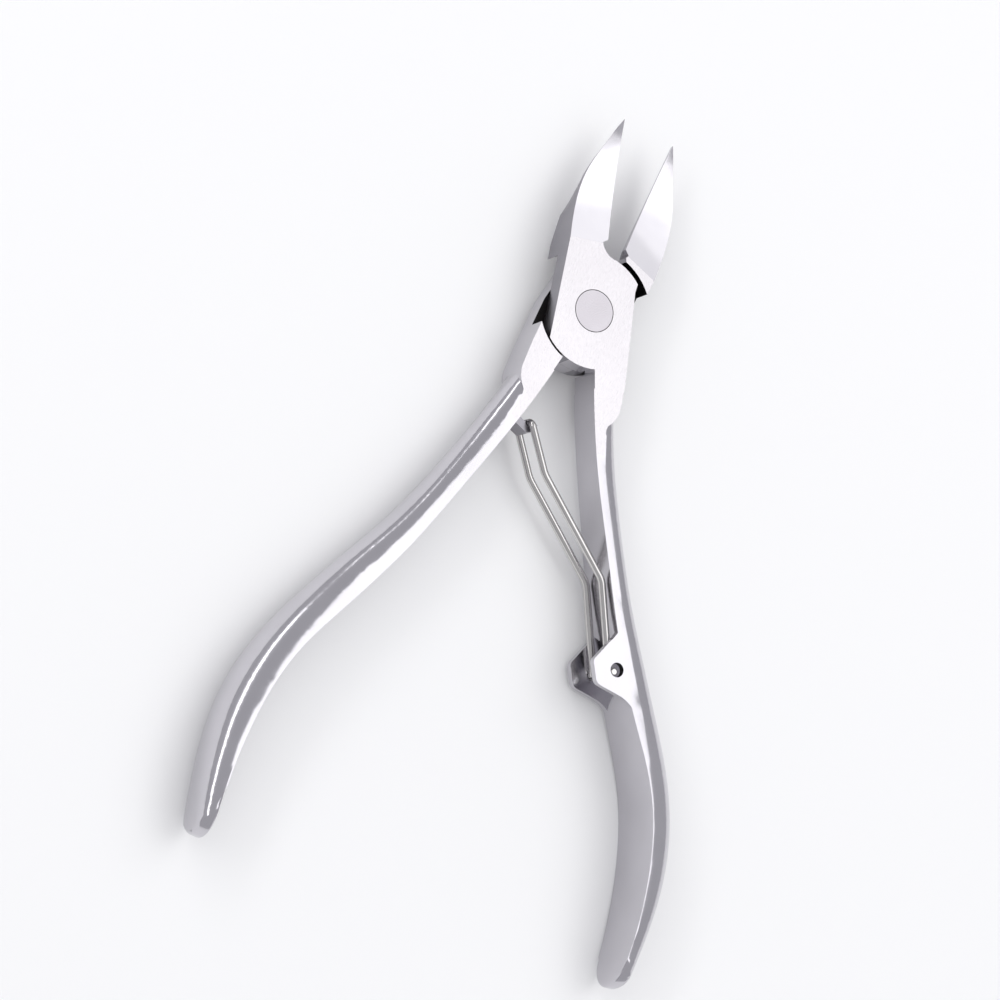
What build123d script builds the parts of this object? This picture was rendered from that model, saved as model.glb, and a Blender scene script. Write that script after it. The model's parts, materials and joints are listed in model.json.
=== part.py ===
from build123d import *
import math
import os

# Nail nipper with a lap joint and a wire spring. Everything is in millimetres.
# While a half is being shaped the pivot axis is Z through x = y = 0, the jaws point along +Y,
# the joint's mid-plane is z = 0 and the jaws are closed. The finished tool lies flat, a little open.

# ---- driving dimensions -------------------------------------------------------------------
joint_thickness = 6.0        # both lap plates together, front face to back face
lap_gap = 0.04               # play between the two lap faces
front_open_angle = 7.9       # how far each half stands from closed when the spring is relaxed
back_open_angle = 8.5

jaw_length = 30.4            # pivot axis to the cutting tips
jaw_width = 6.05             # jaw width where it leaves the joint
jaw_tip_half_thickness = 0.35
jaw_root_inner = 10.5        # where the ground face of a jaw starts, at the cutting edge
jaw_root_outer = 9.2         # and at the flank
edge_start = 10.9            # where the cutting edge starts
edge_drop = 0.5              # the cutting edge lies this far behind the ground front face
bevel_slope = 0.5            # inward run of the bevel behind the cutting edge, for each mm back
grind_sag = 0.45             # hollow of the ground jaw face

plate_radius = 8.5           # round shoulder of a lap plate
jaw_shoulder_gap = 0.8       # between a plate and the other half's jaw
handle_shoulder_gap = 0.3    # between a plate and the other half's handle

handle_length = 92.6         # pivot axis to the handle ends
grip_start = 57.1            # pivot axis to where the hand holds; only the grip changes with the length
front_handle_turn = 0.0      # how far each handle is set round the pivot from the drawn line
back_handle_turn = 6.0

screw_head_radius = 3.06
screw_head_depth = 1.2
screw_end_gap = 0.03         # play under the head
screw_shank_radius = 1.9
running_gap = 0.07           # radial play of the screw in the front half
head_edge_break = 0.08
slot_width = 0.8
slot_depth = 0.7

wire_diameter = 1.05
ear_thickness = 1.15
ear_outer = 4.05             # mid-plane to the outside of an ear
ear_hole_radius = 1.05
ear_hole = (14.1, -49.5)     # hole centre on the closed front half
ear_face_gap = 0.1           # the wire ends stop this far inside the ear faces
seat_gap = 0.02              # between a wire end and the side of its hole it is pressed against
leg_side_gap = 0.08          # between a spring leg and the ear beside it
elbow_distance = 37.1        # pivot axis to where the legs leave the front handle
elbow_gap = 0.12             # between a leg and the handle there
leg_bow = (1.25, -25.2)      # where the legs turn towards the back handle, with the spring relaxed

crossbar_distance = 18.6     # pivot axis to the spring's crossbar, down the back handle
crossbar_height = 2.0        # handle's inner face to the middle of the crossbar
hook_gap = 0.09              # between the crossbar and the hook
hook_side_gap = 0.16         # between the hook and the legs beside it
hook_lip = 0.6
crossbar_half = 2.2          # mid-plane to the middle of a leg where the crossbar starts

# ---- sizes that follow from them ----------------------------------------------------------
half_thickness = joint_thickness / 2
wire_radius = wire_diameter / 2
ear_inner = ear_outer - ear_thickness
leg_at_ears = ear_inner - leg_side_gap - wire_radius
hook_half_width = crossbar_half - wire_radius - hook_side_gap
jaw_shoulder_radius = plate_radius + jaw_shoulder_gap
handle_shoulder_radius = plate_radius + handle_shoulder_gap
grip_length = handle_length - grip_start

# The left jaw's flank from the joint to the tip, at its front face and behind the relief.
flank_line = [(-5.75, 15.5), (-4.55, 20.9), (-2.6, 25.2)]
relief_line = [(-5.0, 15.5), (-2.9, 20.9), (-1.0, 25.2)]
relief_start = 11.5
relief_top = 0.9             # mid-plane to where the relief starts, in front of it
relief_outset = 0.1          # the relief starts this far outside the flank


def on_grip(share):
    """The distance from the pivot of a place this share of the way down the grip."""
    return grip_start + share * grip_length


# Inner line of the handle, from the crotch to the end.
handle_line = [
    (1.9, -8.7),
    (4.95, -20.7),
    (9.7, -34.9),
    (13.1, -44.3),
    (19.0, -grip_start),
    (22.8, -on_grip(0.237)),
    (24.6, -on_grip(0.49)),
    (24.7, -on_grip(0.744)),
    (23.6, -handle_length),
]
# Handle sections: (distance from the pivot, depth, width of the flat side).
handle_sections = [
    (11.0, 3.9, 1.9),
    (16.4, 3.9, 1.9),
    (20.5, 3.9, 1.35),
    (28.0, 3.8, 1.1),
    (36.0, 3.8, 1.1),
    (44.0, 4.3, 1.3),
    (51.0, 4.8, 1.4),
    (on_grip(0.025), 4.8, 0.85),
    (on_grip(0.223), 4.5, 0.45),
    (on_grip(0.448), 4.3, 0.4),
    (on_grip(0.645), 3.6, 0.4),
    (on_grip(0.842), 2.6, 0.35),
    (handle_length, 1.6, 0.35),
]
# Half the tool's thickness down the handles: (distance from the pivot, half thickness).
side_line = [
    (18.0, half_thickness),
    (28.0, 3.3),
    (36.0, 3.75),
    (44.0, 4.0),
    (53.0, ear_outer),
    (on_grip(0.082), 4.6),
    (on_grip(0.251), 4.92),
    (on_grip(0.42), 5.0),
    (on_grip(0.645), 4.75),
    (on_grip(0.876), 4.25),
]
side_allowance = 0.12        # stock on each side of a lofted handle before its sides are ground
crown_lean = 9.0             # between the flat side and the crowned outer face, in degrees
crown_rise = 0.03            # the crown starts this far above the flat side, and the side cuts it


def polar(radius, angle):
    """A point at this radius, its angle in degrees from +X."""
    turn = math.radians(angle)
    return (radius * math.cos(turn), radius * math.sin(turn))


def turned(point, angle):
    """A plan point turned round the pivot, anticlockwise in degrees."""
    turn = math.radians(angle)
    x, y = point
    return (x * math.cos(turn) - y * math.sin(turn), x * math.sin(turn) + y * math.cos(turn))


def on_circle(radius, x, side):
    """The point of a circle round the pivot at this x, above (+1) or below (-1) the axis."""
    return (x, side * math.sqrt(radius**2 - x**2))


def slab(face, low, high):
    """A plan face made solid between two heights."""
    return extrude(Pos(0, 0, low) * face, high - low)


# ---- one half: left jaw, lap plate on the front, right handle --------------------------------
def jaw_and_plate_outline(handle_turn):
    """Plan of the jaw, the plate and the top of the handle."""
    tip = (0, jaw_length)
    flank = -jaw_width
    low_left = on_circle(plate_radius, flank, -1)
    crotch = turned(on_circle(plate_radius, 1.9, -1), -handle_turn)
    side = turned((7.15, -8.9), -handle_turn)
    shoulder = turned((7.2, -12.7), -handle_turn)
    shoulder_middle = turned((6.8, -14.2), -handle_turn)
    shoulder_end = turned((5.72, -15.7), -handle_turn)
    flat_start = turned((5.6, -16.35), -handle_turn)
    inner_end = turned((3.75, -16.45), -handle_turn)
    neck = on_circle(plate_radius, 1.9, 1)
    corner = on_circle(plate_radius, 6.0, 1)
    outline = Curve() + [
        Line(low_left, (flank, 9.0)),
        Spline(
            (flank, 9.0),
            *flank_line,
            tip,
            tangents=((0, 1), (0.5, 0.87)),
        ),
        Line(tip, (0, edge_start)),
        Line((0, edge_start), (-0.8, 10.3)),
        ThreePointArc((-0.8, 10.3), (0.15, 8.95), neck),
        ThreePointArc(neck, polar(plate_radius, 60), corner),
        Line(corner, (5.85, 4.7)),
        Line((5.85, 4.7), (6.5, -1.7)),
        Line((6.5, -1.7), side),
        Line(side, shoulder),
        ThreePointArc(shoulder, shoulder_middle, shoulder_end),
        Line(shoulder_end, flat_start),
        Line(flat_start, inner_end),
        Line(inner_end, crotch),
        ThreePointArc(crotch, polar(plate_radius, -110), low_left),
    ]
    return make_face(outline)


def side_curve():
    """The upper edge of the side view, from the joint to where the end is rounded."""
    points = [(-distance, half) for distance, half in side_line]
    return Spline(*points, tangents=((-1, 0), (-1, -0.1)))


def side_view():
    """The whole tool between its ground sides, wide enough for a half."""
    curve = side_curve()
    start = curve @ 0
    end = curve @ 1
    top = (jaw_length + 1, half_thickness)
    upper = Curve() + [
        Line(top, start),
        curve,
        ThreePointArc(end, (-handle_length, 0), (end.X, -end.Y)),
        mirror(curve, Plane.XZ),
        Line((start.X, -start.Y), (top[0], -top[1])),
        Line((top[0], -top[1]), top),
    ]
    return extrude(Plane.YZ * make_face(upper), 60, both=True)


def half_thickness_at(distance):
    """Half the tool's thickness this far down a handle."""
    curve = side_curve()
    cut = curve.find_intersection_points(Axis((-distance, 0, 0), (0, 1, 0)))
    if distance <= side_line[0][0]:
        return half_thickness
    return cut[0].Y if cut else side_line[-1][1]


def handle_bar():
    """The handle: flat inner face and crowned outer face, lofted through its sections."""
    line = Spline(*handle_line)
    lean = math.radians(crown_lean)
    falling = (math.cos(lean), -math.sin(lean))
    returning = (-math.cos(lean), -math.sin(lean))
    faces = []
    for distance, depth, side in handle_sections:
        half = half_thickness_at(distance)
        edge = half + side_allowance
        start = side - crown_rise / math.tan(lean)
        high = half + crown_rise
        cut = line.find_intersection_points(Axis((0, -distance, 0), (1, 0, 0)))
        where = cut[0] if cut else line.position_at(1)
        along = line.tangent_at(line.param_at_point(where))
        outward = Vector(-along.Y, along.X, 0)
        plane = Plane(origin=where, x_dir=outward, z_dir=along)
        section = Curve() + [
            Line((0, -edge), (0, edge)),
            Line((0, edge), (start, edge)),
            Line((start, edge), (start, high)),
            Spline((start, high), (depth, 0), (start, -high), tangents=(falling, returning)),
            Line((start, -high), (start, -edge)),
            Line((start, -edge), (0, -edge)),
        ]
        faces.append(plane * make_face(section))
    return loft(faces)


def hollow_wheel():
    """The wheel that grinds a jaw's front face hollow, as what it takes away from the left jaw."""
    top = half_thickness + 1
    low = jaw_tip_half_thickness
    faces = []
    for x, root in ((-jaw_width - 2, jaw_root_outer), (2, jaw_root_inner)):
        middle_y = (root + jaw_length) / 2
        middle_z = (half_thickness + low) / 2 - grind_sag
        profile = Curve() + [
            ThreePointArc((root, half_thickness), (middle_y, middle_z), (jaw_length, low)),
            Line((jaw_length, low), (jaw_length + 2, low)),
            Line((jaw_length + 2, low), (jaw_length + 2, top)),
            Line((jaw_length + 2, top), (root, top)),
            Line((root, top), (root, half_thickness)),
        ]
        faces.append(Plane.YZ.offset(x) * make_face(profile))
    return loft(faces, ruled=True)


def edge_bevel():
    """The bevel behind the left jaw's cutting edge."""
    deep = -half_thickness - 1
    faces = []
    for y, edge in ((9.6, half_thickness - 0.6 - edge_drop), (jaw_length + 1, -0.3)):
        run = bevel_slope * (edge - deep)
        corners = Polyline((0, edge), (-run, deep), (3, deep), (3, edge), close=True)
        faces.append(Plane(origin=(0, y, 0), x_dir=(1, 0, 0), z_dir=(0, -1, 0)) * make_face(corners))
    return loft(faces, ruled=True)


def flank_relief():
    """The left jaw's flank is cut back under the front face, more and more towards the tip."""
    outset = relief_outset
    front = [(x - outset, y + outset) for x, y in [*flank_line, (0, jaw_length)]]
    front.insert(0, (-jaw_width - outset, relief_start))
    back = [(-jaw_width - 3 * outset, relief_start), *relief_line, (0.8, jaw_length)]
    faces = []
    for height, points in ((relief_top, front), (-half_thickness - 0.5, back)):
        start = points[0]
        low_x = -jaw_width - 3
        high_y = jaw_length + 2
        end = points[-1]
        outline = Curve() + [
            Spline(*points, tangents=((0, 1), (0.5, 0.87))),
            Line(end, (end[0], high_y)),
            Line((end[0], high_y), (low_x, high_y)),
            Line((low_x, high_y), (low_x, start[1])),
            Line((low_x, start[1]), start),
        ]
        faces.append(Pos(0, 0, height) * make_face(outline))
    return loft(faces, ruled=True)


def jaw_grinds():
    """All that is ground off the left jaw."""
    wheel = hollow_wheel()
    return [wheel, mirror(wheel, Plane.XY), edge_bevel(), flank_relief()]


def lap_pocket():
    """What the front half gives up behind its mid-plane, so that the back half's plate fits there."""
    low = -half_thickness - 1
    high = lap_gap / 2
    above = slab(Pos(0, 15) * Rectangle(40, 30), low, high)
    below = slab(Pos(0, -15) * Rectangle(40, 30), low, high)
    jaw_side = slab(Circle(jaw_shoulder_radius), low, high) & above
    handle_side = slab(Circle(handle_shoulder_radius), low, high) & below
    neck = Polyline(
        (0, edge_start),
        on_circle(jaw_shoulder_radius, -0.9, 1),
        (-0.9, 0),
        (8, 0),
        (8, edge_start),
        close=True,
    )
    return jaw_side + handle_side + slab(make_face(neck), low, high)


def half_blank(handle_turn):
    """A half before its jaw is ground, closed, with its jaw on the left and its plate in front."""
    plan = jaw_and_plate_outline(handle_turn)
    top = slab(plan, -half_thickness, half_thickness)
    handle = Rot(0, 0, -handle_turn) * (handle_bar() & side_view())
    return top + handle - lap_pocket()


def spring_ears():
    """The two ears on the front half's handle, with their oversize holes."""
    outline = Curve() + [
        Line((14.6, -44.9), (13.3, -43.9)),
        ThreePointArc((13.3, -43.9), (12.75, -45.0), (12.0, -46.1)),
        Line((12.0, -46.1), (10.5, -48.5)),
        ThreePointArc((10.5, -48.5), (10.25, -49.0), (10.35, -49.6)),
        Line((10.35, -49.6), (11.0, -51.3)),
        ThreePointArc((11.0, -51.3), (11.35, -51.95), (12.0, -52.3)),
        Line((12.0, -52.3), (14.9, -52.9)),
        ThreePointArc((14.9, -52.9), (17.1, -53.8), (18.6, -55.4)),
        Line((18.6, -55.4), (18.6, -54.4)),
        Line((18.6, -54.4), (14.6, -44.9)),
    ]
    plate = slab(make_face(outline), ear_inner, ear_outer + 1)
    hole = slab(Pos(*ear_hole) * Circle(ear_hole_radius), -ear_outer - 2, ear_outer + 2)
    return (plate + mirror(plate, Plane.XY) - hole) & side_view()


def inside_handle(distance, height, handle_turn):
    """The place this far down a closed half's handle and this far in from its inner face, with the
    handle on the right, and the direction down the handle there."""
    line = Spline(*handle_line)
    cut = line.find_intersection_points(Axis((0, -distance, 0), (1, 0, 0)))[0]
    along = line.tangent_at(line.param_at_point(cut))
    inward = Vector(along.Y, -along.X, 0)
    spot = cut + inward * height
    return turned((spot.X, spot.Y), -handle_turn), along.rotate(Axis.Z, -handle_turn)


def spring_hook(handle_turn):
    """The hook on the back handle's inner face that the crossbar sits under."""
    spot, along = inside_handle(crossbar_distance, crossbar_height, handle_turn)
    notch = wire_radius + hook_gap
    root = -crossbar_height - 0.5
    outline = Polyline(
        (root, -1.5),
        (notch - 0.1, -1.5),
        (notch + hook_lip, -0.7),
        (notch + hook_lip, 0.55),
        (notch, 0.55),
        (notch, 0),
        (-notch, 0),
        (-notch, -0.35),
        (root, -0.35),
        close=True,
    )
    inward = Vector(along.Y, -along.X, 0)
    plane = Plane(origin=(*spot, 0), x_dir=inward, z_dir=(0, 0, -1))
    profile = plane * (make_face(outline) - Circle(notch))
    return extrude(profile, hook_half_width, both=True)


def pivot_bores():
    """Counterbore and bore in the front plate; the back plate holds the thread."""
    floor = half_thickness - screw_head_depth - screw_end_gap
    head = slab(Circle(screw_head_radius + running_gap), floor, half_thickness + 1)
    shank = slab(Circle(screw_shank_radius + running_gap), -1, half_thickness + 1)
    return head + shank


# ---- the pieces, lying flat and a little open --------------------------------------------------
def front_half():
    half = half_blank(front_handle_turn) + Rot(0, 0, -front_handle_turn) * spring_ears()
    half -= pivot_bores()
    for grind in jaw_grinds():
        half -= grind
    return Rot(0, 0, front_open_angle) * half


def back_half():
    half = half_blank(back_handle_turn) + spring_hook(back_handle_turn)
    half = Rot(0, 180, 0) * half
    half -= slab(Circle(screw_shank_radius), -half_thickness - 1, half_thickness)
    for grind in jaw_grinds():
        half -= mirror(grind, Plane.YZ)
    return Rot(0, 0, -back_open_angle) * half


def pivot_screw():
    floor = half_thickness - screw_head_depth
    head = slab(Circle(screw_head_radius), floor, half_thickness)
    head = chamfer(head.edges().group_by(Axis.Z)[-1], head_edge_break)
    shank = slab(Circle(screw_shank_radius), -half_thickness, floor)
    slot_top = -half_thickness + slot_depth
    slot = slab(Rectangle(3 * screw_shank_radius, slot_width), -half_thickness - 1, slot_top)
    return Rot(0, 0, 35) * (head + shank - slot)


def spring_route():
    """Points of the wire's centre line, from one ear to the other, and the radius at each corner."""
    hole = turned(ear_hole, front_open_angle - front_handle_turn)
    slack = ear_hole_radius - wire_radius - seat_gap
    seat = (hole[0] - 0.6 * slack, hole[1] - 0.8 * slack)
    spot, along = inside_handle(elbow_distance, wire_radius + elbow_gap, front_handle_turn)
    elbow = turned(spot, front_open_angle)
    spot, along = inside_handle(crossbar_distance, crossbar_height, back_handle_turn)
    crossbar = turned((-spot[0], spot[1]), -back_open_angle)
    leg = [
        (*seat, ear_outer - ear_face_gap),
        (*seat, leg_at_ears),
        (*elbow, leg_at_ears),
        (*leg_bow, leg_at_ears),
        (*crossbar, crossbar_half),
    ]
    radii = [0.9, 3.0, 5.0, 0.8]
    points = leg + [(x, y, -z) for x, y, z in reversed(leg)]
    return points, radii + radii[::-1]


def spring_wire():
    points, radii = spring_route()
    path = FilletPolyline(*points, radius=radii)
    start = Plane(origin=path @ 0, z_dir=path % 0)
    return sweep(start * Circle(wire_radius), path=path)


def build():
    nodes = {
        "front_half": front_half(),
        "back_half": back_half(),
        "pivot_screw": pivot_screw(),
        "spring_wire": spring_wire(),
    }
    whole = Compound(children=[Compound(shape.wrapped) for shape in nodes.values()])
    box = whole.bounding_box()
    lift = side_curve().bounding_box().max.Y
    shift = Pos(-(box.min.X + box.max.X) / 2, -(box.min.Y + box.max.Y) / 2, lift)
    return {name: shift * shape for name, shape in nodes.items()}, shift


if __name__ == "__main__":
    os.makedirs("parts", exist_ok=True)
    nodes, shift = build()
    for name, shape in nodes.items():
        export_step(shape, f"parts/{name}.step")
    print("pivot axis at", shift.position)
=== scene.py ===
# %% [markdown]
# # Nail nipper: the looks
# The nipper is two steel forgings lapped over each other, one screw and one bent wire. The CAD model is
# loaded as a fixed frame. Every piece here is made round it, in metres: the tool lies flat, the screw's
# axis is Z, the jaws point along +Y and the handle with the spring ears is on the +X side.

# %% Load the frame
import bpy
import bmesh
import json
import math
from mathutils import Matrix, Vector


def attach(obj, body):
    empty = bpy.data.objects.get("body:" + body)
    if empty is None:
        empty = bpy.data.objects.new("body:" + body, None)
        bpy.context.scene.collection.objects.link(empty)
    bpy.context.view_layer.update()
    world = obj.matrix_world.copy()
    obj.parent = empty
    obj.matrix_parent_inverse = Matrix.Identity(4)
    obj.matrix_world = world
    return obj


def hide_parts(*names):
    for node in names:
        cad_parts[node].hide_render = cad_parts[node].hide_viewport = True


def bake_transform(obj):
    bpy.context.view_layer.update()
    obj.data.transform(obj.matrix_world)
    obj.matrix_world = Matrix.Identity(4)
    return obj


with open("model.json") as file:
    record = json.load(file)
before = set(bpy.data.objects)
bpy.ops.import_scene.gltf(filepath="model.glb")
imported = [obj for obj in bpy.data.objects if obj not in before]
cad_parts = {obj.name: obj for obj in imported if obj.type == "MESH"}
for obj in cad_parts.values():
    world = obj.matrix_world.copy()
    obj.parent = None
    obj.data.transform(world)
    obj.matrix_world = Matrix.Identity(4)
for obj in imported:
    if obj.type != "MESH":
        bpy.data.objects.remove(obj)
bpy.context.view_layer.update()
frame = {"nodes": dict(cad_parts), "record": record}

# %% Units and fixed places
MM = 0.001
joints = {joint["name"]: joint for joint in frame["record"]["behaviour"]["joints"]}
PIVOT = Vector(joints["jaw_hinge"]["pos_m"])
EAR_HOLE = Vector(joints["spring_swing"]["pos_m"])
print("pivot at", tuple(PIVOT), "ear hole at", tuple(EAR_HOLE))

# %% [markdown]
# ## How the two forgings are measured
# The tool is shown a little open, each half turned by its own angle from where the jaws meet. Picking out
# a jaw or a plate is easiest in a half's own directions, so one function turns a place back to the closed
# tool, and mirrors the back half onto the front one: there the jaw is always on the left.

# %% A place in a half's own directions
OPEN_ANGLE = {"front_half": 7.9, "back_half": -8.5}
HALF_THICKNESS = 3.0 * MM
PLATE_RADIUS = 8.5 * MM
JAW_SHOULDER_RADIUS = 9.3 * MM


def on_closed_half(node, place):
    """A place, in metres, as seen on the closed front half with the pivot at 0."""
    turn = Matrix.Rotation(math.radians(-OPEN_ANGLE[node]), 3, "Z")
    spot = turn @ (place - PIVOT)
    return Vector((-spot.x, spot.y, -spot.z)) if node == "back_half" else spot


# %% [markdown]
# ## Working by hand, in code
# Every modelling step here is the one a person would do with the mouse: pick an object, go into edit
# mode, pick faces, use a tool. These few helpers do the picking, and the tools are Blender's own operators.

# %% Picking objects and faces
MERGE_WITHIN = 0.002 * MM
FLAT_WITHIN = math.radians(0.6)
SHARP_ABOVE = math.radians(20)


def pick(piece):
    """Select only this piece and make it the active one."""
    bpy.ops.object.select_all(action="DESELECT")
    piece.select_set(True)
    bpy.context.view_layer.objects.active = piece


def pick_faces(wanted):
    """In edit mode, select only the faces that the test accepts, and say how many they are."""
    bpy.ops.mesh.select_mode(type="FACE")
    bpy.ops.mesh.select_all(action="DESELECT")
    mesh = bmesh.from_edit_mesh(bpy.context.object.data)
    for face in mesh.faces:
        face.select_set(bool(wanted(face)))
    bmesh.update_edit_mesh(bpy.context.object.data)
    return sum(face.select for face in mesh.faces)


def use_modifier(piece, kind, **settings):
    """Add a modifier with these settings and apply it."""
    modifier = piece.modifiers.new(kind.lower(), kind)
    for name, value in settings.items():
        setattr(modifier, name, value)
    pick(piece)
    bpy.ops.object.modifier_apply(modifier=modifier.name)


def copy_to_work_on(node, name):
    """A piece that starts as a CAD node's shape: its loose triangles are joined into clean faces."""
    pick(frame["nodes"][node])
    bpy.ops.object.duplicate()
    piece = bpy.context.object
    piece.name = name
    piece.parent = None
    for key in list(piece.keys()):
        del piece[key]
    piece.data.materials.clear()
    bpy.ops.mesh.customdata_custom_splitnormals_clear()
    bpy.ops.object.mode_set(mode="EDIT")
    bpy.ops.mesh.select_all(action="SELECT")
    bpy.ops.mesh.remove_doubles(threshold=MERGE_WITHIN)
    bpy.ops.mesh.dissolve_limited(angle_limit=FLAT_WITHIN)
    bpy.ops.object.mode_set(mode="OBJECT")
    return piece


# %% [markdown]
# ## The steels
# Every piece is stainless steel, and only the way each surface was finished differs. The handles are
# polished on a cloth wheel, which leaves slow waves. The plates are flat-ground and brushed, which leaves
# a satin face. The jaws are hollow-ground across, their flanks are only belt-ground, and the wire is
# bright drawn. Faces inside the joint are never polished and stay as milled. A metal's colour is its
# reflection, so the base colour is that of stainless steel, about 60 per cent grey, and the finish is
# in the roughness and the bump. Two colours are painted shade: the darker grey of the jaw flanks and the
# spring hook, and the near black inside the joint.

# %% Colours and nodes
def linear(hex_colour):
    """An sRGB hex colour as linear RGBA."""
    values = [int(hex_colour[i:i + 2], 16) / 255 for i in (1, 3, 5)]
    return (*[v / 12.92 if v <= 0.04045 else ((v + 0.055) / 1.055) ** 2.4 for v in values], 1.0)


def add_node(material, kind, inputs=None, **settings):
    """Add a node with its settings, and give each input a value or a link."""
    node = material.node_tree.nodes.new(kind)
    for name, value in settings.items():
        setattr(node, name, value)
    for socket, value in (inputs or {}).items():
        if isinstance(value, bpy.types.NodeSocket):
            material.node_tree.links.new(value, node.inputs[socket])
        else:
            node.inputs[socket].default_value = value
    return node


def per_mm(*sizes):
    """Noise scales that give a pattern these sizes, in mm, along X, Y and Z."""
    return [1 / (size * MM) for size in sizes]


def steel(name, colour, dull_colour, rough, grain_mm, grain_height, wave_mm, wave_height):
    """A steel with a grain of fine marks over slow waves; heights are in mm."""
    material = bpy.data.materials.new(name)
    material.use_nodes = True
    shader = material.node_tree.nodes["Principled BSDF"]
    shader.inputs["Metallic"].default_value = 1.0
    where = add_node(material, "ShaderNodeTexCoord").outputs["Object"]
    marks_place = add_node(material, "ShaderNodeMapping", {
        "Vector": where, "Scale": per_mm(*grain_mm)})
    marks = add_node(material, "ShaderNodeTexNoise", {
        "Vector": marks_place.outputs["Vector"], "Scale": 1.0, "Detail": 3.0, "Roughness": 0.6})
    waves = add_node(material, "ShaderNodeTexNoise", {
        "Vector": where, "Scale": per_mm(wave_mm)[0], "Detail": 2.0, "Roughness": 0.5})
    roughness = add_node(material, "ShaderNodeMapRange", {
        "Value": marks.outputs["Fac"], "From Min": 0.3, "From Max": 0.7,
        "To Min": rough[0], "To Max": rough[1]})
    tint = add_node(material, "ShaderNodeMix", {
        "Factor": waves.outputs["Fac"], "A": linear(dull_colour), "B": linear(colour)}, data_type="RGBA")
    low = add_node(material, "ShaderNodeBump", {
        "Height": waves.outputs["Fac"], "Strength": 1.0, "Distance": wave_height * MM})
    fine = add_node(material, "ShaderNodeBump", {
        "Height": marks.outputs["Fac"], "Strength": 1.0, "Distance": grain_height * MM,
        "Normal": low.outputs["Normal"]})
    links = material.node_tree.links
    links.new(tint.outputs["Result"], shader.inputs["Base Color"])
    links.new(roughness.outputs["Result"], shader.inputs["Roughness"])
    links.new(fine.outputs["Normal"], shader.inputs["Normal"])
    print("material", name)
    return material


# Handles and flanks: cloth-polished, so the reflections are clear but flow in slow waves.
POLISHED = steel("polished_stainless_steel", "#CFCDD2", "#C4C2C7", (0.12, 0.20),
                 (0.06, 1.2, 0.06), 0.0006, 6.0, 0.006)
# Plates: flat-ground and brushed along the tool. The marks are about 0.05 mm apart.
SATIN = steel("satin_ground_stainless_steel", "#D6D3D6", "#CDCACD", (0.20, 0.32),
              (0.05, 0.9, 0.05), 0.0012, 5.0, 0.004)
# Jaws: hollow-ground by a wheel whose marks run from the edge to the flank, then fine-buffed.
GROUND = steel("hollow_ground_stainless_steel", "#D6D4D8", "#CCCACF", (0.06, 0.10),
               (0.8, 0.05, 0.05), 0.0004, 5.0, 0.003)
# Jaw flanks: belt-ground down the jaw and not polished, so rougher than the handles. Their darker grey is
# painted shade, and the spring hook gets it too.
FLANK = steel("belt_ground_steel_painted_shade", "#A09EA4", "#949298", (0.28, 0.38),
              (0.06, 0.06, 1.0), 0.0010, 5.0, 0.004)
# Inside the joint: left as milled. Its near-black colour is painted shade for the recesses and holes.
LAP = steel("milled_steel_painted_shade", "#2E2C2B", "#1F1E1E", (0.42, 0.60),
            (0.15, 0.15, 0.15), 0.0030, 2.0, 0.004)
# The screw head: turned and ground flush, a little greyer than the plate round it.
SCREW = steel("ground_screw_steel", "#C4C0C5", "#BBB7BC", (0.22, 0.34),
              (0.08, 0.08, 0.08), 0.0010, 4.0, 0.003)
# The spring: bright drawn wire, with draw marks too fine to see one by one.
DRAWN = steel("bright_drawn_wire", "#D4D2D0", "#C8C6C4", (0.05, 0.10),
              (0.04, 0.04, 0.04), 0.0003, 3.0, 0.002)

# %% [markdown]
# ## The two halves
# Each half is one forging, machined where it laps and ground where it cuts. The CAD shape is right to a
# few hundredths, so the work starts from a copy of it. What CAD leaves out is what the polisher adds:
# every edge is broken a little, the handle's end is rounded, and each zone has its own finish. A zone is
# found by where its faces lie on the closed half and which way they look.

# %% Which way a face looks
LEVEL = 0.9                  # a face whose normal's z is more than this lies flat
UPRIGHT = 0.2                # and one whose normal's z is less than this is a wall


def faces_right(node, face):
    """How much a face looks to the right on the closed half, from -1 to 1."""
    turn = Matrix.Rotation(math.radians(-OPEN_ANGLE[node]), 3, "Z")
    across = (turn @ face.normal).x
    return -across if node == "back_half" else across


# %% The zones inside the joint
LAP_FACE_WITHIN = 0.1 * MM
LAP_WALL_BELOW = 0.02 * MM
JAW_WALL = (PLATE_RADIUS + 0.2 * MM, JAW_SHOULDER_RADIUS + 0.1 * MM)
HANDLE_WALL = (PLATE_RADIUS + 0.1 * MM, PLATE_RADIUS + 0.45 * MM)
BORE_WALL_WITHIN = 3.3 * MM
EAR_HOLE_WALL_WITHIN = 1.7 * MM


def is_lap(node, face):
    """Inside the joint: the lap face, the walls of the pocket round the other plate, and the holes."""
    middle = face.calc_center_median()
    spot = on_closed_half(node, middle)
    lap_face = abs(face.normal.z) > LEVEL and abs(spot.z) < LAP_FACE_WITHIN
    low, high = JAW_WALL if spot.y > 0 else HANDLE_WALL
    pocket_wall = spot.z < LAP_WALL_BELOW and low < spot.xy.length < high
    bore = spot.xy.length < BORE_WALL_WITHIN
    ear_hole = (middle - EAR_HOLE).xy.length < EAR_HOLE_WALL_WITHIN and spot.x > 0
    upright = abs(face.normal.z) < UPRIGHT
    return lap_face or upright and (pocket_wall or bore or ear_hole)


# %% The zones outside
PLATE_LEVEL = 0.9995
PLATE_WITHIN = 0.02 * MM
JAW_FROM = 9.0 * MM
FLANK_FROM = -9.0 * MM
FLANK_INSET = 0.4 * MM
SLOPE = 0.3                  # jaw faces with a normal's z above this are ground, and below it are flanks
HOOK_ROOT = Vector((2.43, -18.96, 0)) * MM
HOOK_INWARD = Vector((-0.988, -0.158, 0))
HOOK_STANDS_OUT = 0.08 * MM
HOOK_REACH = 4.0 * MM


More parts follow.
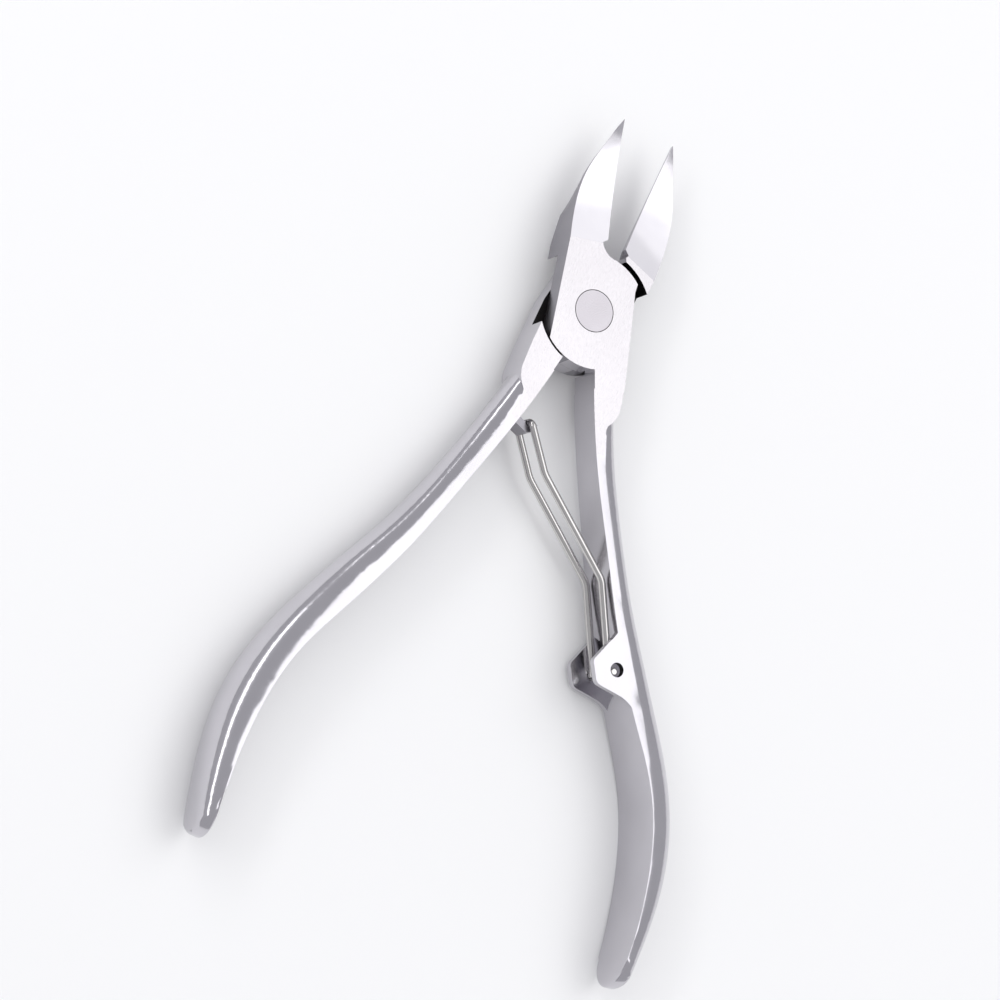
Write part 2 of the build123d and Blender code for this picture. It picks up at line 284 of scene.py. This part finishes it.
def is_plate(node, face):
    """The flat-ground front and back faces."""
    spot = on_closed_half(node, face.calc_center_median())
    return abs(face.normal.z) > PLATE_LEVEL and abs(abs(spot.z) - HALF_THICKNESS) < PLATE_WITHIN


def is_ground_jaw(node, face):
    """The hollow-ground faces and the bevel of the cutting edge."""
    spot = on_closed_half(node, face.calc_center_median())
    return spot.y > JAW_FROM and abs(face.normal.z) > SLOPE and not is_plate(node, face)


def is_flank(node, face):
    """The outer side of a jaw and of the plate below it."""
    spot = on_closed_half(node, face.calc_center_median())
    outer = spot.y > FLANK_FROM and spot.x < -FLANK_INSET
    return outer and abs(face.normal.z) < SLOPE and faces_right(node, face) < -SLOPE


def is_hook(node, face):
    """The spring hook on the back handle's inner face, which takes the flanks' darker grey as painted shade.
    """
    from_root = on_closed_half(node, face.calc_center_median()) - HOOK_ROOT
    stands_out = from_root.dot(HOOK_INWARD) > HOOK_STANDS_OUT
    return node == "back_half" and stands_out and from_root.length < HOOK_REACH


# %% Giving a zone its finish
def give_finish(piece, finish, wanted):
    """Assign one of the piece's materials to the faces that the test accepts."""
    count = pick_faces(wanted)
    piece.active_material_index = piece.data.materials.find(finish.name)
    bpy.ops.object.material_slot_assign()
    return count


def crease_between(piece, first, second):
    """Keep the shading crisp where one finish meets another at a shallow angle."""
    pair = {piece.data.materials.find(finish.name) for finish in (first, second)}
    bpy.ops.mesh.select_mode(type="EDGE")
    bpy.ops.mesh.select_all(action="DESELECT")
    mesh = bmesh.from_edit_mesh(piece.data)
    for edge in mesh.edges:
        edge.select_set({face.material_index for face in edge.link_faces} == pair)
    bmesh.update_edit_mesh(piece.data)
    bpy.ops.mesh.mark_sharp()
    return sum(edge.select for edge in mesh.edges)


# %% [markdown]
# ## The handles
# The cloth wheel takes most away at the handle's end, so its edges are rounded five times more than the
# rest. The crowned outer face flows from end to end, and a mirror finish shows the least kink in it. A
# mesh of flat faces has only averaged normals there, so the crown takes the true ones from the CAD shape.

# %% The end and the crown of a handle
END_ZONE_Y = -88.5 * MM
END_SHARP_ABOVE = math.radians(50)
END_ROUNDING = 0.45 * MM
END_STEPS = 4
CROWN_FROM = -17.5 * MM
CROWN_LEVEL = 0.97
CROWN_LOOKS_OUT = 0.15


def round_handle_end(piece, node):
    """Round the edges round the end of the handle."""
    bpy.ops.mesh.select_mode(type="EDGE")
    bpy.ops.mesh.select_all(action="DESELECT")
    mesh = bmesh.from_edit_mesh(piece.data)
    for edge in mesh.edges:
        middle = (edge.verts[0].co + edge.verts[1].co) / 2
        at_end = on_closed_half(node, middle).y < END_ZONE_Y
        edge.select_set(at_end and edge.calc_face_angle(0) > END_SHARP_ABOVE)
    bmesh.update_edit_mesh(piece.data)
    count = sum(edge.select for edge in mesh.edges)
    bpy.ops.mesh.bevel(offset=END_ROUNDING, segments=END_STEPS, affect="EDGES")
    return count


def is_crown(node, face):
    """The crowned outer face of a handle."""
    on_handle = END_ZONE_Y + END_ROUNDING < on_closed_half(node, face.center).y < CROWN_FROM
    return on_handle and abs(face.normal.z) < CROWN_LEVEL and faces_right(node, face) > CROWN_LOOKS_OUT


def smooth_crown(piece, node):
    """Give the corners inside the crown the CAD shape's own normals."""
    inside = {corner for face in piece.data.polygons for corner in face.vertices}
    for face in piece.data.polygons:
        if not is_crown(node, face):
            inside.difference_update(face.vertices)
    piece.vertex_groups.new(name="crown").add(list(inside), 1.0, "REPLACE")
    use_modifier(piece, "DATA_TRANSFER", object=frame["nodes"][node], use_loop_data=True,
                 data_types_loops={"CUSTOM_NORMAL"}, loop_mapping="NEAREST_POLYNOR", vertex_group="crown")
    return len(inside)


# %% Clean, finish and break the edges of each half
EDGE_BREAK = 0.09 * MM


def half_piece(node, name):
    """One forging, from the CAD shape to its finished edges."""
    piece = copy_to_work_on(node, name)
    for finish in (POLISHED, SATIN, GROUND, LAP, FLANK):
        piece.data.materials.append(finish)
    bpy.ops.object.mode_set(mode="EDIT")
    ground = give_finish(piece, GROUND, lambda face: is_ground_jaw(node, face))
    # The flanks and the spring hook get the darker grey, which is painted shade.
    flank = give_finish(piece, FLANK, lambda face: is_flank(node, face) or is_hook(node, face))
    flat = give_finish(piece, SATIN, lambda face: is_plate(node, face))
    # The lap face, pocket walls and holes get the near-black colour, which is painted shade for the recesses.
    dark = give_finish(piece, LAP, lambda face: is_lap(node, face))
    rounded = round_handle_end(piece, node)
    bpy.ops.object.mode_set(mode="OBJECT")
    bpy.ops.object.shade_smooth_by_angle(angle=SHARP_ABOVE)
    use_modifier(piece, "BEVEL", width=EDGE_BREAK, segments=1, limit_method="ANGLE", angle_limit=SHARP_ABOVE)
    bpy.ops.object.mode_set(mode="EDIT")
    creases = crease_between(piece, SATIN, GROUND)
    bpy.ops.object.mode_set(mode="OBJECT")
    use_modifier(piece, "WEIGHTED_NORMAL", keep_sharp=True)
    crown = smooth_crown(piece, node)
    print(name, "faces", len(piece.data.polygons), "ground", ground, "flank", flank, "flat", flat,
          "joint", dark, "creased edges", creases, "rounded edges", rounded, "crown corners", crown)
    return piece


front = half_piece("front_half", "front_half_forging")
back = half_piece("back_half", "back_half_forging")
for piece, body, node in ((front, "front", "front_half"), (back, "back", "back_half")):
    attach(piece, body)
    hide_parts(node)

# %% [markdown]
# ## The pivot screw
# The screw has a wide flat head ground flush with the plate, a plain shank and a slot in its far end. It
# could be lathed from a profile; here it is drawn out of one cylinder as a turner would think of it: the
# head first, then its underside inset to the shank and pulled out, and last the slot cut across the end.

# %% Head and shank
HEAD_RADIUS = 3.02 * MM
HEAD_DEPTH = 1.2 * MM
HEAD_BREAK = 0.07 * MM
SHANK_RADIUS = 1.9 * MM
SLOT_WIDTH = 0.8 * MM
SLOT_DEPTH = 0.7 * MM
ROUND_STEPS = 128
SLOT_TURN = math.radians(35)
WALL_SHARP_ABOVE = math.radians(40)

head_middle = PIVOT + Vector((0, 0, HALF_THICKNESS - HEAD_DEPTH / 2))
bpy.ops.object.select_all(action="DESELECT")
bpy.ops.mesh.primitive_cylinder_add(vertices=ROUND_STEPS, radius=HEAD_RADIUS, depth=HEAD_DEPTH,
                                    location=head_middle)
screw = bpy.context.object
screw.name = "pivot_screw_turned"
for material in (SCREW, LAP):
    screw.data.materials.append(material)
bpy.ops.object.transform_apply(location=True, rotation=False, scale=False)
bpy.ops.object.mode_set(mode="EDIT")
pick_faces(lambda face: face.normal.z < -LEVEL)
bpy.ops.mesh.inset(thickness=HEAD_RADIUS - SHANK_RADIUS)
shank_length = 2 * HALF_THICKNESS - HEAD_DEPTH
bpy.ops.mesh.extrude_region_move(TRANSFORM_OT_translate={"value": (0, 0, -shank_length)})
# The shank's wall sits in the bore and gets the near-black painted shade.
dark = give_finish(screw, LAP, lambda face: abs(face.normal.z) < UPRIGHT)
bpy.ops.object.mode_set(mode="OBJECT")
print(screw.name, "joint faces", dark)

# %% The slot, and the broken edges
bpy.ops.object.select_all(action="DESELECT")
slot_middle = PIVOT - Vector((0, 0, HALF_THICKNESS))
bpy.ops.mesh.primitive_cube_add(size=1, location=slot_middle, rotation=(0, 0, SLOT_TURN),
                                scale=(3 * SHANK_RADIUS, SLOT_WIDTH, 2 * SLOT_DEPTH))
cutter = bpy.context.object
bpy.ops.object.transform_apply()
use_modifier(screw, "BOOLEAN", operation="DIFFERENCE", object=cutter, solver="EXACT")
bpy.data.objects.remove(cutter)
bpy.ops.object.shade_smooth_by_angle(angle=SHARP_ABOVE)
use_modifier(screw, "BEVEL", width=HEAD_BREAK, segments=2, limit_method="ANGLE", angle_limit=WALL_SHARP_ABOVE)
use_modifier(screw, "WEIGHTED_NORMAL", keep_sharp=True)
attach(screw, "back")
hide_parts("pivot_screw")
print(screw.name, "faces", len(screw.data.polygons))

# %% [markdown]
# ## The spring
# One wire, bent in a jig: its ends turn outwards into the ear holes, its legs run up between the handles
# and its crossbar sits under the hook. The real wire bends as the handles close: near the ears it follows
# the front half, at the crossbar the back half, and it bends smoothly between them. Here it keeps the CAD
# shape with its ends rounded, and rides on neither half.

# %% The wire
WIRE_END_ROUNDING = 0.16 * MM
WIRE_END_SHARP_ABOVE = math.radians(60)
wire = copy_to_work_on("spring_wire", "spring_bent_wire")
wire.data.materials.append(DRAWN)
bpy.ops.object.shade_smooth_by_angle(angle=WALL_SHARP_ABOVE)
use_modifier(wire, "BEVEL", width=WIRE_END_ROUNDING, segments=3, limit_method="ANGLE",
             angle_limit=WIRE_END_SHARP_ABOVE)
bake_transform(wire)
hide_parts("spring_wire")

# %% [markdown]
# ## Camera
# The tool is looked at from above its front face, from the lower left, close enough for the handles to
# draw together a little.

# %% The camera
camera_data = bpy.data.cameras.new("camera")
camera_data.lens = 113.4
camera_data.sensor_width = 36
camera_data.clip_start = 0.01
camera = bpy.data.objects.new("camera", camera_data)
camera.location = PIVOT + Vector((-0.16907, -0.16021, 0.38921))
camera.rotation_euler = [math.radians(angle) for angle in (8.132, -27.317, 20.621)]
bpy.context.scene.collection.objects.link(camera)
bpy.context.scene.camera = camera
print("camera at", tuple(camera.location))

# %% [markdown]
# ## Floor and light
# Polished steel shows what is round it. One big softbox hangs where the flat front faces mirror it, and
# a second one beyond a gap, which the hollow jaws mirror at their middle, so that they turn grey at the
# tips. Two dimmer ones beyond that let the jaws fall off softly to grey at the root. A strip on the left
# draws the line down the crowned handle. A wide overhead light that no reflection shows keeps the floor
# pale.

# %% The floor
bpy.ops.object.select_all(action="DESELECT")
bpy.ops.mesh.primitive_plane_add(size=3, location=(0, 0, 0))
floor = bpy.context.object
floor.name = "floor"
paper = bpy.data.materials.new("matt_white_paper")
paper.use_nodes = True
paper_shader = paper.node_tree.nodes["Principled BSDF"]
paper_shader.inputs["Base Color"].default_value = linear("#F4F4F4")
paper_shader.inputs["Roughness"].default_value = 0.9
paper_shader.inputs["Specular IOR Level"].default_value = 0.1
floor.data.materials.append(paper)

# %% The room and the softboxes
room = bpy.data.worlds.new("studio")
room.use_nodes = True
room.node_tree.nodes["Background"].inputs["Color"].default_value = linear("#BFBFC3")
room.node_tree.nodes["Background"].inputs["Strength"].default_value = 1.0
bpy.context.scene.world = room


def softbox(name, middle, size, power, mirrored=True):
    """A flat panel light facing down, placed from the pivot; steel doesn't show one that isn't mirrored."""
    light = bpy.data.lights.new(name, "AREA")
    light.shape = "RECTANGLE"
    light.size, light.size_y = size
    light.energy = power
    panel = bpy.data.objects.new(name, light)
    panel.location = PIVOT + Vector(middle)
    panel.visible_glossy = mirrored
    bpy.context.scene.collection.objects.link(panel)
    print("light", name, tuple(panel.location), power)
    return panel


softbox("key_panel", (0.27, 0.15, 0.75), (0.5, 0.5), 1.0)
softbox("jaw_panel", (0.42, 0.61, 0.75), (0.6, 0.15), 0.36)
softbox("middle_panel", (0.42, 0.735, 0.75), (0.6, 0.1), 0.17)
softbox("root_panel", (0.45, 0.93, 0.75), (0.7, 0.29), 0.40)
strip = softbox("left_strip", (-0.45, 0.17, 0.34), (0.09, 0.7), 0.55)
strip.rotation_euler.y = math.radians(-52)    # turned to face the tool
softbox("floor_light", (0.0, 0.0, 1.2), (3.0, 3.0), 14.0, mirrored=False)

bpy.context.scene.view_settings.view_transform = "Standard"
